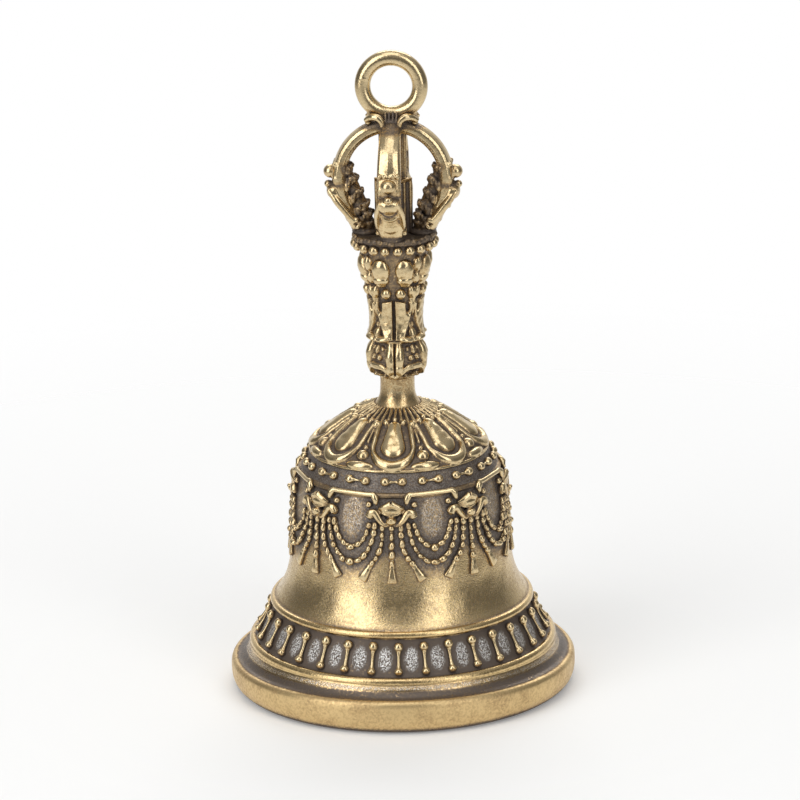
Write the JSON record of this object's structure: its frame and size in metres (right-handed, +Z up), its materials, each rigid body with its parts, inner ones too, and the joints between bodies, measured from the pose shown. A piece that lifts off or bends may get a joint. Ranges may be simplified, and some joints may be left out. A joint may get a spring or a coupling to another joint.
{
  "type": "hand bell",
  "caption": "Small cast brass ritual hand bell with a relief-covered cup, a vase handle topped by curved prongs and a hanging loop, and a swinging clapper.",
  "frame": {"origin": "centre of the mouth's rim plane, which the bell stands on", "axes": "+Z up the bell's axis towards the hanging loop, -Y towards the front motifs, +Y along the loop's hole"},
  "size_m": [0.0254, 0.0254, 0.048],
  "materials": {
    "cup_brass": "antique brass, satin, dark patina in the recesses",
    "relief_brass": "antique brass, raised motifs rubbed bright over dark patina",
    "handle_brass": "antique brass, cast relief rubbed bright over dark patina",
    "clapper_brass": "dull brass, unpolished inside the cup",
    "fastener_brass": "plain turned brass"
  },
  "bodies": {
    "bell": {"bell_cup": "cup_brass", "baluster_band": "relief_brass", "shoulder_dumbbells": "relief_brass", "lotus_petals": "relief_brass", "garland_masks": "relief_brass", "garland_tassels": "relief_brass", "handle_stem": "handle_brass", "handle_bead_ring": "handle_brass", "prong_front": "handle_brass", "prong_right": "handle_brass", "prong_back": "handle_brass", "prong_left": "handle_brass", "vajra_shaft": "handle_brass", "crown_boss": "handle_brass", "hanging_loop": "handle_brass", "eye_bolt": "fastener_brass", "crown_washer": "fastener_brass", "crown_nut": "fastener_brass"},
    "link": {"clapper_link": "clapper_brass"},
    "clapper": {"clapper_rod": "clapper_brass", "clapper_ball": "clapper_brass"}
  },
  "joints": [
    {"name": "link_swing", "type": "hinge", "parent": "bell", "child": "link", "pos_m": [0, 0, 0.0155], "axis": [1, 0, 0], "range_deg": [-12, 12]},
    {"name": "clapper_swing", "type": "hinge", "parent": "link", "child": "clapper", "pos_m": [0, 0, 0.01322], "axis": [0, 1, 0], "range_deg": [-38, 38]}
  ]
}
